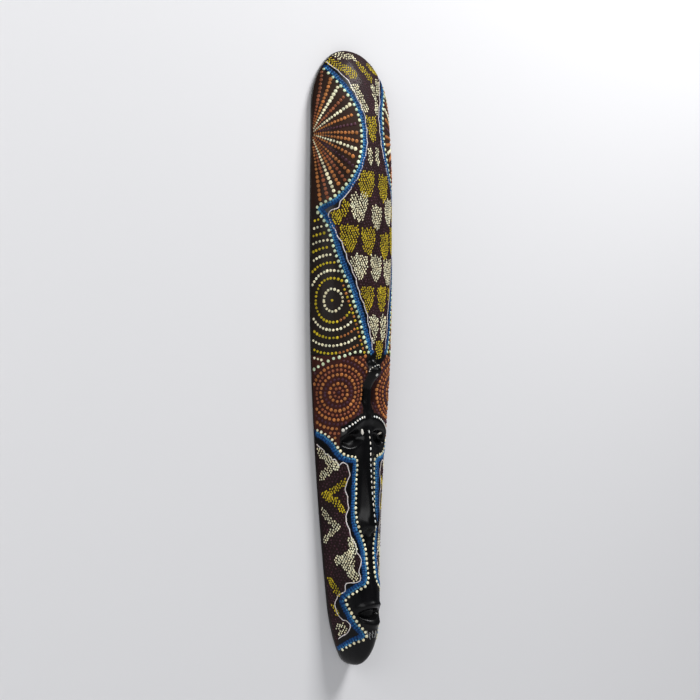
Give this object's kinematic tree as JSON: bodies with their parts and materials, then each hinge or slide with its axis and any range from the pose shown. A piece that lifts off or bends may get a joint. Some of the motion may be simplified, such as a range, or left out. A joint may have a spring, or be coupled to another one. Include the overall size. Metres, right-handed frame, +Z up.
{
  "type": "carved wall mask",
  "caption": "Long narrow carved wooden wall mask with a dot-painted curved front, a carved face, a hollowed back and a hinged steel hanging ring in a pocket.",
  "frame": {"origin": "the seat of the wall's hook, on the inside of the hanging ring's top", "axes": "+Z up, from chin to top; -Y the way the face looks; +Y into the wall, whose plane is at y = 4 mm; +X towards the viewer's right"},
  "size_m": [0.166, 0.0782, 1],
  "materials": {
    "painted_wood": "satin",
    "zinc_steel": "satin",
    "screw_brass": "satin"
  },
  "bodies": {
    "mask": {"mask_shell": "painted_wood", "hanger_strap": "zinc_steel", "screw_upper": "screw_brass", "screw_lower": "screw_brass"},
    "ring": {"hanger_ring": "zinc_steel"}
  },
  "joints": [
    {"name": "ring_swing", "type": "hinge", "parent": "mask", "child": "ring", "pos_m": [0, -0.00545, -0.01898], "axis": [1, 0, 0], "range_deg": [-160, 12]}
  ]
}
